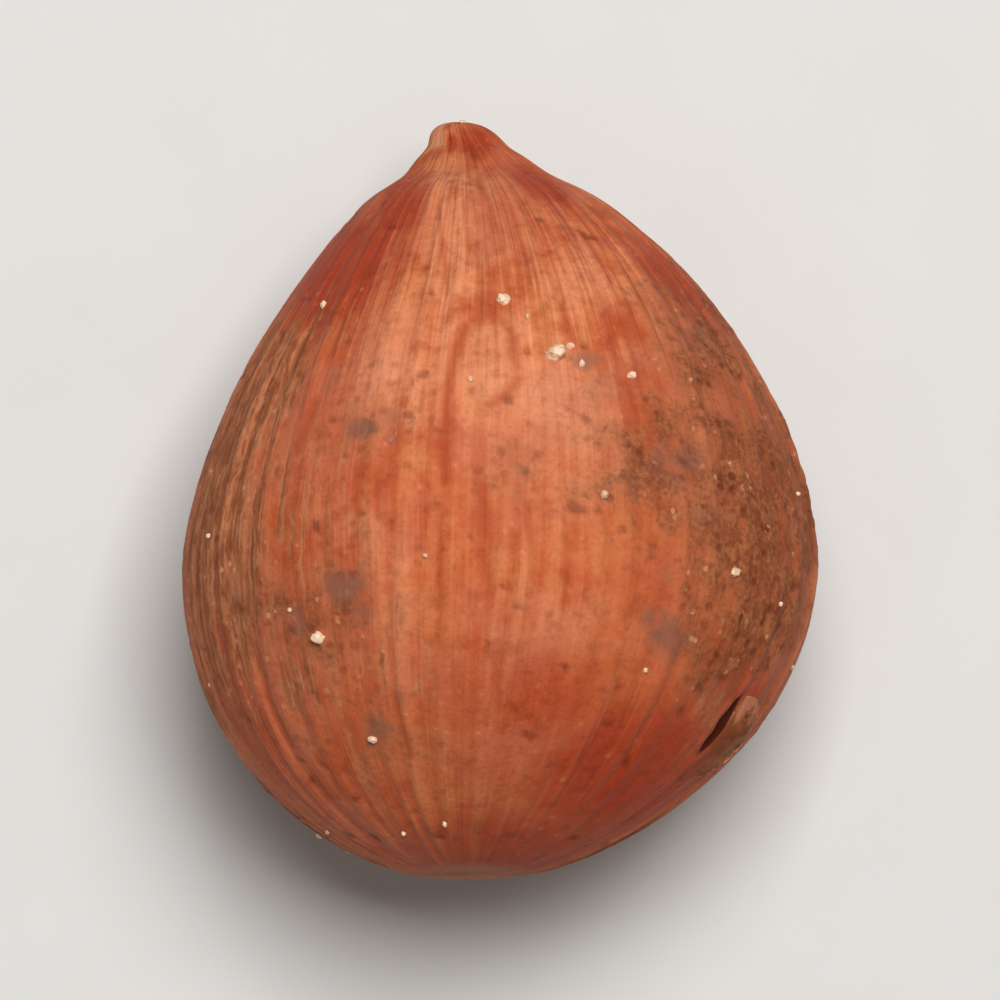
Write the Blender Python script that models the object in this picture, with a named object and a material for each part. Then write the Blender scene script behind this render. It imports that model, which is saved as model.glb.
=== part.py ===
"""A shelled hazelnut kernel in its skin, lying on its side.

Units are metres. The long axis runs along Y with the beak towards +Y, Z is up, and the kernel
rests on the plane z = 0 on a small flat spot. The origin is the bottom centre of its box.
The skin is one closed surface: a teardrop with soft keels, raised by ribs that run from the scar
at the base to the beak, with one lifted flake low on the right flank.
"""

import math

import bpy
import numpy as np

# Driving dimensions
WIDTH = 0.0140
LENGTH = 0.0167
HEIGHT = 0.0132
FLAT_DEPTH = 0.00022

# Outline: a quarter ellipse from the base to the belly, then shoulders that close on the beak
BELLY_FROM_BASE = 0.405
BASE_CLOSING = 0.57
SHOULDER_END = 0.955
SHOULDER_ROUNDING = 1.66
SHOULDER_CLOSING = 0.66
NECK_AT = 0.885
NECK_SPREAD = 0.04
NECK_SHARE = 0.15
BEAK_RADIUS = 0.00100
BEAK_FROM = 0.80
BEAK_ROUNDING = 3.0
BEAK_BLEND = 4.0
OUTLINE_SAMPLES = 2001

# Middle line: the base and the beak lean to -X, and the belly bows a little to +X
BASE_LEAN = -0.00070
BASE_LEAN_POWER = 1.5
BEAK_LEAN = -0.00093
BEAK_DROOP = -0.00020
BEAK_LEAN_FROM = 0.70
BEAK_LEAN_POWER = 2.2
BELLY_BOW = 0.00004
BELLY_BOW_AT = 0.58
BELLY_BOW_SPREAD = 0.12
NOSE_DOWN = math.radians(8.0)

# Keels: turn round the axis from +X, height as a share of the radius, and half width in turn
KEELS = (
    (math.radians(119.0), 0.034, math.radians(20.0)),
    (math.radians(50.0), 0.026, math.radians(24.0)),
    (math.radians(-24.0), 0.022, math.radians(26.0)),
    (math.radians(192.0), 0.020, math.radians(24.0)),
    (math.radians(262.0), 0.026, math.radians(28.0)),
)
KEEL_AT = 0.66
KEEL_SPREAD = 0.26

# Broad unevenness: waves round the axis, share of the radius, turn, where it peaks, and spread
DENTS = (
    (2, 0.006, math.radians(40.0), 0.35, 0.30),
    (4, 0.006, math.radians(70.0), 0.28, 0.20),
    (7, 0.003, math.radians(12.0), 0.45, 0.22),
)

# Scar at the base, where the seed was joined to its shell: a round dimple
SCAR_DEPTH = 0.00020
SCAR_RADIUS = 0.0011

# Ribs: the waves are how often a rib wanders or swells on its way from the base to the beak
RIB_SEED = 7
RIB_COUNT = 54
RIB_HEIGHT = 0.00016
RIB_LEAST_SHARE = 0.15
RIB_JITTER = 0.20
RIB_WANDER = 0.16
RIB_LONG_WAVES = 1.3
RIB_SHORT_WAVES = 2.9
RIB_SWELL_WAVES = 2.1
RIB_SWELL_SHARE = 0.3
RIB_FADE = 0.12
RIB_FREE_RADIUS = 0.0024
COLUMNS_A_RIB = 2
ROWS = 51

# Flake low on the right flank: skin lifted along a slit that follows the ribs
FLAKE_TURN = math.radians(27.0)
FLAKE_SHARE = 0.185
FLAKE_LENGTH = 0.00085
FLAKE_WIDTH = 0.00040
FLAKE_LIFT = 0.00020
SLIT_DEPTH = 0.00020

SKIN_COLOUR = (0.42, 0.12, 0.05, 1.0)
SKIN_ROUGHNESS = 0.55


def clear_scene():
    """Removes every object that is already in the scene."""
    for old in list(bpy.data.objects):
        bpy.data.objects.remove(old)


def bell(offset, spread):
    """A rounded bump of height 1 at no offset, fading to nothing past twice the spread."""
    return np.exp(-((offset / spread) ** 2))


def wrapped(turn):
    """A turn brought into the half turn to each side of 0."""
    return (turn + math.pi) % (2 * math.pi) - math.pi


def half_width(share):
    """Half the width at a share of the length from the base: a quarter ellipse below the belly,
    a closing shoulder with a slight neck above it, and the blunt beak blended into its end."""
    below = np.clip((BELLY_FROM_BASE - share) / BELLY_FROM_BASE, 0.0, 1.0)
    above = np.clip((share - BELLY_FROM_BASE) / (1.0 - BELLY_FROM_BASE), 0.0, 1.0)
    closing = np.clip(above / SHOULDER_END, 0.0, 1.0) ** SHOULDER_ROUNDING
    neck = 1.0 - NECK_SHARE * bell(above - NECK_AT, NECK_SPREAD)
    body = (1.0 - below**2) ** BASE_CLOSING * (1.0 - closing) ** SHOULDER_CLOSING * neck
    body = WIDTH / 2 * body
    along = np.clip((above - BEAK_FROM) / (1.0 - BEAK_FROM), 0.0, 1.0)
    beak = BEAK_RADIUS * (1.0 - along**BEAK_ROUNDING) ** (1.0 / BEAK_ROUNDING)
    beak = np.where(share > BELLY_FROM_BASE, beak, 0.0)
    return (body**BEAK_BLEND + beak**BEAK_BLEND) ** (1.0 / BEAK_BLEND)


def meridian(stations):
    """The share of the length, the half width and the distance from the base along the outline at
    each station, which runs from 0 at the base to 1 at the beak evenly along that outline."""
    share = (1.0 - np.cos(np.linspace(0.0, math.pi, OUTLINE_SAMPLES))) / 2
    width = half_width(share)
    steps = np.hypot(np.diff(share * LENGTH), np.diff(width))
    arc = np.concatenate([[0.0], np.cumsum(steps)])
    at = stations * arc[-1]
    return np.interp(at, arc, share), np.interp(at, arc, width), at


def middle_line(share):
    """How far the middle of the kernel lies from the straight axis, in X and Z."""
    base = np.clip(1.0 - share / BELLY_FROM_BASE, 0.0, 1.0) ** BASE_LEAN_POWER
    beak = np.clip((share - BEAK_LEAN_FROM) / (1.0 - BEAK_LEAN_FROM), 0.0, 1.0) ** BEAK_LEAN_POWER
    bow = bell(share - BELLY_BOW_AT, BELLY_BOW_SPREAD)
    return BASE_LEAN * base + BEAK_LEAN * beak + BELLY_BOW * bow, BEAK_DROOP * beak


def swell(theta, share):
    """The keels and the broad unevenness, as a factor on the radius."""
    factor = np.ones_like(theta)
    for turn, height, spread in KEELS:
        factor += height * bell(wrapped(theta - turn), spread) * bell(share - KEEL_AT, KEEL_SPREAD)
    for waves, size, turn, place, spread in DENTS:
        factor += size * np.cos(waves * (theta - turn)) * bell(share - place, spread)
    return factor


def rib_lines(stations):
    """Each rib's turn round the axis and its height at each station, as rows of ribs. The turns
    are evenly spaced, jittered and wandering, and the heights swell and fade along each rib."""
    draw = np.random.default_rng(RIB_SEED)
    pitch = 2 * math.pi / RIB_COUNT
    start = pitch * (np.arange(RIB_COUNT) + RIB_JITTER * draw.uniform(-1, 1, RIB_COUNT))
    phases = draw.uniform(0, 2 * math.pi, (3, RIB_COUNT, 1))
    shares = draw.uniform(RIB_LEAST_SHARE, 1.0, (RIB_COUNT, 1))
    along = 2 * math.pi * stations[None, :]
    long_wave = np.sin(RIB_LONG_WAVES * along + phases[0])
    short_wave = np.sin(RIB_SHORT_WAVES * along + phases[1])
    turns = start[:, None] + RIB_WANDER * pitch * (2 * long_wave + short_wave) / 3
    swelling = 1.0 - RIB_SWELL_SHARE + RIB_SWELL_SHARE * np.sin(RIB_SWELL_WAVES * along + phases[2])
    ends = np.clip(stations / RIB_FADE, 0, 1) * np.clip((1 - stations) / RIB_FADE, 0, 1)
    return turns, RIB_HEIGHT * shares * swelling * ends[None, :]


def grid_turns(stations):
    """The turn and rib height of every grid column: each rib's crest, then the valley beyond it."""
    turns, heights = rib_lines(stations)
    ahead = np.roll(turns, -1, axis=0)
    ahead[-1] += 2 * math.pi
    theta = np.empty((len(stations), RIB_COUNT * COLUMNS_A_RIB))
    raised = np.zeros_like(theta)
    theta[:, 0::COLUMNS_A_RIB] = turns.T
    theta[:, 1::COLUMNS_A_RIB] = (turns.T + ahead.T) / 2
    raised[:, 0::COLUMNS_A_RIB] = heights.T
    return theta, raised


def flake(theta, width, arc):
    """Height of the lifted flake and, beside it, depth of the slit that frees its upper edge."""
    outline_share, _, outline_arc = meridian(np.linspace(0.0, 1.0, OUTLINE_SAMPLES))
    middle = np.interp(FLAKE_SHARE, outline_share, outline_arc)
    across = wrapped(theta - FLAKE_TURN) * width
    lifted = FLAKE_LIFT * bell(across + FLAKE_WIDTH / 2, FLAKE_WIDTH)
    slit = SLIT_DEPTH * bell(across - FLAKE_WIDTH, FLAKE_WIDTH / 2)
    return bell(arc - middle, FLAKE_LENGTH) * (lifted - slit)


def skin_points():
    """Points of the skin as rings from the base to the beak, with the axis still level."""
    stations = np.linspace(0.0, 1.0, ROWS + 1)[1:-1]
    theta, raised = grid_turns(stations)
    share, width, arc = (values[:, None] for values in meridian(stations))
    lean_x, lean_z = middle_line(share)
    resting = bell(wrapped(theta + math.pi / 2) * width, RIB_FREE_RADIUS)
    resting = resting * bell((share - BELLY_FROM_BASE) * LENGTH, RIB_FREE_RADIUS)
    radius = width * swell(theta, share) + raised * (1.0 - resting) + flake(theta, width, arc)
    scar = np.where(share < BELLY_FROM_BASE, SCAR_DEPTH * bell(width, SCAR_RADIUS), 0.0)
    x = lean_x + radius * np.cos(theta)
    y = share * LENGTH + scar + np.zeros_like(theta)
    z = lean_z + radius * (HEIGHT / WIDTH) * np.sin(theta)
    rings = np.stack([x, y, z], axis=-1)
    base = np.array([BASE_LEAN, SCAR_DEPTH, 0.0])
    tip = np.array([BEAK_LEAN, LENGTH, BEAK_DROOP])
    return rings, base, tip


def settle(points):
    """Turns the nose down to the pose in which the kernel lies, fits the box to the driving
    dimensions, stands it on z = 0 and presses the flat spot into its underside."""
    cos, sin = math.cos(NOSE_DOWN), math.sin(NOSE_DOWN)
    turned = points.copy()
    turned[:, 1] = points[:, 1] * cos + points[:, 2] * sin
    turned[:, 2] = points[:, 2] * cos - points[:, 1] * sin
    low, high = turned.min(axis=0), turned.max(axis=0)
    size = np.array([WIDTH, LENGTH, HEIGHT + FLAT_DEPTH])
    bottom_centre = np.array([(low[0] + high[0]) / 2, (low[1] + high[1]) / 2, low[2]])
    placed = (turned - bottom_centre) * size / (high - low)
    placed[:, 2] = np.maximum(placed[:, 2] - FLAT_DEPTH, 0.0)
    return placed


def skin_faces(rows, columns):
    """Quads between neighbouring rings, and a fan of triangles at each end."""
    base, tip = rows * columns, rows * columns + 1
    faces = []
    for column in range(columns):
        beside = (column + 1) % columns
        faces.append((base, column, beside))
        for row in range(rows - 1):
            here, above = row * columns, (row + 1) * columns
            faces.append((here + column, above + column, above + beside, here + beside))
        last = (rows - 1) * columns
        faces.append((tip, last + beside, last + column))
    return faces


def skin_material():
    """Red-brown, satin skin."""
    material = bpy.data.materials.new("kernel_skin")
    material.use_nodes = True
    shader = material.node_tree.nodes["Principled BSDF"]
    shader.inputs["Base Color"].default_value = SKIN_COLOUR
    shader.inputs["Roughness"].default_value = SKIN_ROUGHNESS
    shader.inputs["Metallic"].default_value = 0.0
    return material


def make_kernel():
    """The whole kernel, one closed skin, as one object."""
    rings, base, tip = skin_points()
    rows, columns = rings.shape[:2]
    points = settle(np.concatenate([rings.reshape(-1, 3), base[None], tip[None]]))
    mesh = bpy.data.meshes.new("kernel")
    mesh.from_pydata(points.tolist(), [], skin_faces(rows, columns))
    mesh.update()
    mesh.shade_smooth()
    mesh.materials.append(skin_material())
    kernel = bpy.data.objects.new("kernel", mesh)
    bpy.context.scene.collection.objects.link(kernel)
    return kernel


clear_scene()
make_kernel()
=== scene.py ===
"""A shelled hazelnut kernel in its brown skin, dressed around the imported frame.

Lengths are in metres. The kernel lies on its side with its beak towards +Y, and Z is up. A place
on its skin is given by a turn round the long axis, which is 0 towards +X and a quarter turn at the
top, and by a station, which runs from 0 at the base to 1 at the beak evenly along the outline.
"""

import itertools
import logging
import math
from collections.abc import Iterator
from dataclasses import dataclass, field, fields
from enum import Enum
from typing import Any

import bpy
import numpy as np
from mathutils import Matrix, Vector


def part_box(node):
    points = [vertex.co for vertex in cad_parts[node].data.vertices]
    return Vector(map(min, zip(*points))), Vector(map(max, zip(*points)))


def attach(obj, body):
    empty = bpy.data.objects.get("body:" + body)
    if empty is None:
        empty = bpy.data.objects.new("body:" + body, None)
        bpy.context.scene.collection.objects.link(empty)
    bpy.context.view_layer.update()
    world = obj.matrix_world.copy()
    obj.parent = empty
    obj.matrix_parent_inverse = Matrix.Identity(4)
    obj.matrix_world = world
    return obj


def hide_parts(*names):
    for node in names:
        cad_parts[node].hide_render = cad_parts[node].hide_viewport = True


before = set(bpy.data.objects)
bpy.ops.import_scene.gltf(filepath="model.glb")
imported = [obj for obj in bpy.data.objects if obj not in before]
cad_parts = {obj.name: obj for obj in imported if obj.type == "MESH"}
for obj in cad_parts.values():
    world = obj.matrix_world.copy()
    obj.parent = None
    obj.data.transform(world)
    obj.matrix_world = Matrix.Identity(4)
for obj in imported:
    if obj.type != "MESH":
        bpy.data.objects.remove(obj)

Array = np.ndarray
Colour = tuple[float, float, float]
Reach = tuple[float, float]

MM = 0.001
WHOLE_TURN = 2.0 * math.pi
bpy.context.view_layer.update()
LOG = logging.getLogger("hazelnut")


def bell(offset: Array, spread: float | Array) -> Array:
    """exp(-(offset / spread)^2): 1 at no offset, and next to nothing past twice the spread."""
    return np.exp(-((offset / spread) ** 2))


def rise(value: Array, low: float, high: float) -> Array:
    """A smooth step, 3t^2 - 2t^3, where t goes from 0 at low to 1 at high."""
    t = np.clip((value - low) / (high - low), 0.0, 1.0)
    return t * t * (3.0 - 2.0 * t)


def wrapped(turn: Array) -> Array:
    """A turn brought into the half turn to each side of 0."""
    return (turn + math.pi) % WHOLE_TURN - math.pi


def stacked(x: Array | float, y: Array | float, z: Array | float) -> Array:
    """x, y and z brought to one shape and put together on a last axis."""
    return np.stack(np.broadcast_arrays(x, y, z), axis=-1)


def ring_grid(rows: int, columns: int) -> tuple[Array, Array]:
    """The two parameters of a surface that closes round itself.

    Args:
        rows: how many rings lie between its two end points.
        columns: how many points each ring has.

    Returns:
        The steps from end to end, between 0 and 1, as a column, and the turns as a row.
    """
    steps = np.linspace(0.0, 1.0, rows + 2)[1:-1, None]
    turns = np.linspace(0.0, WHOLE_TURN, columns, endpoint=False)[None, :]
    return steps, turns


class Cloud:
    """Smooth random values in space, from a seeded lattice of slopes."""

    reach = 1.8

    def __init__(self, seed: int, cells: int = 40) -> None:
        """Draws a slope for each lattice point.

        Args:
            seed: the seed of the draw.
            cells: how many cells the lattice has each way before it repeats.
        """
        self.cells = cells
        slopes = np.random.default_rng(seed).normal(0.0, 1.0, (cells, cells, cells, 3))
        self.slopes = slopes / np.linalg.norm(slopes, axis=-1, keepdims=True)

    def at(self, points: Array) -> Array:
        """Each lattice point gives its slope times the way from it, and the eight nearest ones
        are blended with weights 6t^5 - 15t^4 + 10t^3.

        Args:
            points: places in lattice cells, with x, y and z on the last axis.

        Returns:
            One value for each place, from about -1 to 1.
        """
        cell = np.floor(points).astype(int)
        part = points - cell
        blend = part**3 * (part * (part * 6.0 - 15.0) + 10.0)
        total = np.zeros(points.shape[:-1])
        for corner in itertools.product((0, 1), repeat=3):
            place = (cell + corner) % self.cells
            slope = self.slopes[place[..., 0], place[..., 1], place[..., 2]]
            weight = np.where(corner, blend, 1.0 - blend).prod(axis=-1)
            total += weight * (slope * (part - corner)).sum(axis=-1)
        return total * self.reach

    def rough(self, points: Array, octaves: int = 3) -> Array:
        """A sum of finer and finer clouds.

        Args:
            points: places in lattice cells of the coarsest cloud.
            octaves: how many clouds, each twice as fine and half as strong as the one before.

        Returns:
            Their sum, from about -1 to 1.
        """
        total = sum(self.at(points * 2.0**step + 7.3 * step) / 2.0**step for step in range(octaves))
        return total / (2.0 - 2.0 ** (1 - octaves))


@dataclass(frozen=True)
class Places:
    """Places on the skin by turn and station, with what the outline gives at each station: the
    share of the length from the base, the half width, and the distance from the base along it.
    """

    turn: Array
    station: Array
    share: Array
    width: Array
    arc: Array

    @property
    def shape(self) -> tuple[int, ...]:
        """How many rings there are, and how many places in each."""
        return np.broadcast(self.turn, self.station).shape

    def across(self, turn: float) -> Array:
        """How far the places lie from a turn, as a length round the skin."""
        return wrapped(self.turn - turn) * self.width

    def drawn_out(self, rounds: float, alongs: float) -> Array:
        """Points in space whose noise runs along the kernel without a seam.

        Args:
            rounds: radius of the circle that the turn runs on, so a larger one gives finer streaks.
            alongs: how far the station reaches, so a smaller one gives longer streaks.

        Returns:
            (rounds * cos turn, rounds * sin turn, alongs * station), on a last axis.
        """
        x, y = rounds * np.cos(self.turn), rounds * np.sin(self.turn)
        return stacked(x, y, alongs * self.station)


@dataclass(frozen=True)
class Rough:
    """A seeded roughness in space: its cells' size, its octaves, and a shift in cells."""

    seed: int
    cell: float
    octaves: int = 3
    shift: float = 0.0

    def at(self, points: Array) -> Array:
        """The cloud at points in metres, from about -1 to 1."""
        return Cloud(self.seed).rough(points / self.cell + self.shift, self.octaves)


@dataclass(frozen=True)
class Streaks:
    """Seeded streaks along the kernel: how fine they are round it and along it, and octaves."""

    seed: int
    rounds: float
    alongs: float
    octaves: int = 3

    def at(self, places: Places) -> Array:
        """The cloud at places on the skin, from about -1 to 1."""
        return Cloud(self.seed).rough(places.drawn_out(self.rounds, self.alongs), self.octaves)


@dataclass(frozen=True)
class Spot:
    """An oval place on the upper side, as seen from above and measured from the kernel's middle."""

    x: float
    y: float
    half_x: float
    half_y: float
    strength: float = 1.0
    lean: float = 0.0

    def mask(self, x: Array, y: Array) -> Array:
        """A bell in both directions of the oval, turned by its lean.

        Args:
            x: places to the right of the middle, in millimetres.
            y: places towards the beak, in millimetres.

        Returns:
            The strength at the oval's middle, falling to a third of it at its edge.
        """
        cos, sin = math.cos(self.lean), math.sin(self.lean)
        across = (x - self.x) * cos + (y - self.y) * sin
        along = (y - self.y) * cos - (x - self.x) * sin
        return self.strength * bell(across, self.half_x) * bell(along, self.half_y)


@dataclass(frozen=True)
class Stroke:
    """A line on the upper side, as seen from above, in millimetres from the kernel's middle."""

    path: tuple[tuple[float, float], ...]
    breadth: float
    strength: float = 1.0

    def mask(self, x: Array, y: Array) -> Array:
        """A bell of the distance to the nearest stretch of the path.

        Args:
            x: places to the right of the middle, in millimetres.
            y: places towards the beak, in millimetres.

        Returns:
            The strength on the line, falling to a third of it at the line's breadth.
        """
        nearest = np.full(x.shape, np.inf)
        for (x0, y0), (x1, y1) in itertools.pairwise(self.path):
            run_x, run_y = x1 - x0, y1 - y0
            share = ((x - x0) * run_x + (y - y0) * run_y) / (run_x**2 + run_y**2)
            share = np.clip(share, 0.0, 1.0)
            gap = np.hypot(x - x0 - share * run_x, y - y0 - share * run_y)
            nearest = np.minimum(nearest, gap)
        return self.strength * bell(nearest, self.breadth)


def strongest(places: tuple[Spot, ...] | tuple[Stroke, ...], x: Array, y: Array) -> Array:
    """The largest mask of several spots or strokes at each place."""
    return np.max([place.mask(x, y) for place in places], axis=0)


@dataclass(frozen=True)
class Outline:
    """The teardrop: a profile carried along a middle line that bends slightly."""

    width: float
    length: float
    belly: float = 0.405
    base_closing: float = 0.57
    shoulder_end: float = 0.955
    shoulder_rounding: float = 1.66
    shoulder_closing: float = 0.66
    neck_at: float = 0.885
    neck_spread: float = 0.04
    neck_share: float = 0.15
    beak_radius: float = 1.0 * MM
    beak_from: float = 0.80
    beak_rounding: float = 3.0
    beak_blend: float = 4.0
    base_lean: float = -0.70 * MM
    base_lean_power: float = 1.5
    beak_lean: float = -0.93 * MM
    beak_droop: float = -0.20 * MM
    beak_lean_from: float = 0.70
    beak_lean_power: float = 2.2
    belly_bow: float = 0.04 * MM
    belly_bow_at: float = 0.58
    belly_bow_spread: float = 0.12
    samples: int = 2001

    def half_width(self, share: Array) -> Array:
        """A quarter ellipse below the belly, a closing shoulder with a slight neck above it, and a
        blunt beak blended in by the fourth root of a sum of fourth powers.

        Args:
            share: shares of the length from the base.

        Returns:
            Half the width at each share.
        """
        below = np.clip((self.belly - share) / self.belly, 0.0, 1.0)
        above = np.clip((share - self.belly) / (1.0 - self.belly), 0.0, 1.0)
        closing = np.clip(above / self.shoulder_end, 0.0, 1.0) ** self.shoulder_rounding
        neck = 1.0 - self.neck_share * bell(above - self.neck_at, self.neck_spread)
        body = (1.0 - below**2) ** self.base_closing * (1.0 - closing) ** self.shoulder_closing
        body = self.width / 2.0 * body * neck
        along = np.clip((above - self.beak_from) / (1.0 - self.beak_from), 0.0, 1.0)
        beak = self.beak_radius * (1.0 - along**self.beak_rounding) ** (1.0 / self.beak_rounding)
        beak = np.where(share > self.belly, beak, 0.0)
        return (body**self.beak_blend + beak**self.beak_blend) ** (1.0 / self.beak_blend)

    def meridian(self, station: Array) -> tuple[Array, Array, Array]:
        """Evens the profile out along its own arc.

        Args:
            station: stations from 0 at the base to 1 at the beak.

        Returns:
            The share of the length, the half width and the distance from the base at each station.
        """
        share = (1.0 - np.cos(np.linspace(0.0, math.pi, self.samples))) / 2.0
        width = self.half_width(share)
        steps = np.hypot(np.diff(share * self.length), np.diff(width))
        arc = np.concatenate([[0.0], np.cumsum(steps)])
        at = station * arc[-1]
        return np.interp(at, arc, share), np.interp(at, arc, width), at

    def middle(self, share: Array) -> tuple[Array, Array]:
        """The middle line: powers of the way to the base and to the beak, and a slight bow.

        Args:
            share: shares of the length from the base.

        Returns:
            How far the middle lies from the straight axis, in X and in Z.
        """
        base = np.clip(1.0 - share / self.belly, 0.0, 1.0) ** self.base_lean_power
        beak = np.clip((share - self.beak_lean_from) / (1.0 - self.beak_lean_from), 0.0, 1.0)
        beak = beak**self.beak_lean_power
        bow = bell(share - self.belly_bow_at, self.belly_bow_spread)
        lean = self.base_lean * base + self.beak_lean * beak + self.belly_bow * bow
        return lean, self.beak_droop * beak

    def places(self, turn: Array, station: Array) -> Places:
        """The places on the skin at these turns and stations."""
        return Places(turn, station, *self.meridian(station))


@dataclass(frozen=True)
class Keel:
    """A soft edge along the kernel: its turn, height as a share of the radius, and half width."""

    turn: float
    height: float
    spread: float


@dataclass(frozen=True)
class Dent:
    """Waves round the kernel: how many, their share of the radius, turn, place and spread."""

    waves: int
    share: float
    turn: float
    place: float
    spread: float


@dataclass(frozen=True)
class Swell:
    """The keels and broad dents that keep the cross-section from being a plain oval."""

    keels: tuple[Keel, ...] = (
        Keel(math.radians(119.0), 0.034, math.radians(20.0)),
        Keel(math.radians(50.0), 0.026, math.radians(24.0)),
        Keel(math.radians(-24.0), 0.022, math.radians(26.0)),
        Keel(math.radians(192.0), 0.020, math.radians(24.0)),
        Keel(math.radians(262.0), 0.026, math.radians(28.0)),
    )
    keel_at: float = 0.66
    keel_spread: float = 0.26
    dents: tuple[Dent, ...] = (
        Dent(2, 0.006, math.radians(40.0), 0.35, 0.30),
        Dent(4, 0.006, math.radians(70.0), 0.28, 0.20),
        Dent(7, 0.003, math.radians(12.0), 0.45, 0.22),
    )

    def factor(self, places: Places) -> Array:
        """1, plus a bell for each keel, plus a cosine round the axis for each dent.

        Args:
            places: places on the skin.

        Returns:
            The factor on the radius.
        """
        total = np.ones(places.shape)
        for keel in self.keels:
            across = bell(wrapped(places.turn - keel.turn), keel.spread)
            total += keel.height * across * bell(places.share - self.keel_at, self.keel_spread)
        for dent in self.dents:
            waves = np.cos(dent.waves * (places.turn - dent.turn))
            total += dent.share * waves * bell(places.share - dent.place, dent.spread)
        return total


@dataclass(frozen=True)
class Ribs:
    """Low ribs from the scar to the beak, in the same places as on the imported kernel."""

    seed: int = 7
    count: int = 54
    height: float = 0.13 * MM
    least_share: float = 0.15
    jitter: float = 0.20
    wander: float = 0.16
    long_waves: float = 1.3
    short_waves: float = 2.9
    swell_waves: float = 2.1
    swell_share: float = 0.3
    fade: float = 0.12
    crest: float = 0.27

    def raised(self, places: Places) -> Array:
        """A bell across each rib, which wanders on two waves and swells on a third.

        Args:
            places: places on the skin.

        Returns:
            The height of the ribs at each place, fading to nothing at both ends.
        """
        draw = np.random.default_rng(self.seed)
        pitch = WHOLE_TURN / self.count
        start = pitch * (np.arange(self.count) + self.jitter * draw.uniform(-1, 1, self.count))
        phases = draw.uniform(0, WHOLE_TURN, (3, self.count, 1))
        shares = draw.uniform(self.least_share, 1.0, (self.count, 1))
        along = WHOLE_TURN * places.station
        total = np.zeros(places.shape)
        for rib in range(self.count):
            long_wave = np.sin(self.long_waves * along + phases[0, rib])
            short_wave = np.sin(self.short_waves * along + phases[1, rib])
            swelling = self.swell_share * np.sin(self.swell_waves * along + phases[2, rib])
            crest = start[rib] + self.wander * pitch * (2.0 * long_wave + short_wave) / 3.0
            height = shares[rib] * (1.0 - self.swell_share + swelling)
            total += height * bell(wrapped(places.turn - crest), self.crest * pitch)
        to_base, to_beak = places.station / self.fade, (1.0 - places.station) / self.fade
        return self.height * total * (np.clip(to_base, 0, 1) * np.clip(to_beak, 0, 1))


@dataclass(frozen=True)
class Strand:
    """One raised strand: where it starts and ends, its turn there, and how it bends away."""

    first: float
    last: float
    turn: float
    bend: float
    phase: float
    strength: float


@dataclass(frozen=True)
class Veins:
    """Thin raised strands that climb from the scar, wander and fork."""

    seed: int = 41
    count: int = 13
    height: float = 0.050 * MM
    breadth: float = 0.13 * MM
    wander: float = 0.022
    waves: float = 1.6
    starts_at: float = 0.05
    fork_reach: float = 0.12
    fork_bend: float = 0.12
    fork_share: float = 0.75
    ease: float = 0.05

    def strands(self) -> Iterator[Strand]:
        """Draws each strand and its two forks.

        Returns:
            The strands, each followed by its forks, which share its phase so that they part from
            it smoothly.
        """
        draw = np.random.default_rng(self.seed)
        for number in range(self.count):
            turn = WHOLE_TURN * (number + draw.uniform(-0.3, 0.3)) / self.count
            last = draw.uniform(0.50, 0.93)
            phase = draw.uniform(0.0, WHOLE_TURN)
            strength = draw.uniform(0.35, 1.0)
            yield Strand(self.starts_at, last, turn, 0.0, phase, strength)
            for side in (-1.0, 1.0):
                first = draw.uniform(0.18, 0.55)
                reach = first + draw.uniform(0.15, 0.38)
                bend = side * draw.uniform(0.5, 1.2) * self.fork_bend
                yield Strand(first, reach, turn, bend, phase, self.fork_share * strength)

    def mask(self, places: Places) -> Array:
        """A bell across each strand, smooth at its two ends.

        Args:
            places: places on the skin.

        Returns:
            0 off the strands and up to 1 on them.
        """
        total, station = np.zeros(places.shape), places.station
        for strand in self.strands():
            past = np.clip(station - strand.first, 0.0, None)
            away = strand.bend * (1.0 - np.exp(-past / self.fork_reach))
            wave = self.wander * np.sin(WHOLE_TURN * self.waves * station + strand.phase)
            across = wrapped(places.turn - strand.turn - away - wave) * places.width
            on = rise(station, strand.first, strand.first + self.ease)
            on = on * (1.0 - rise(station, strand.last - self.ease, strand.last))
            total = np.maximum(total, strand.strength * on * bell(across, self.breadth))
        return total


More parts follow.
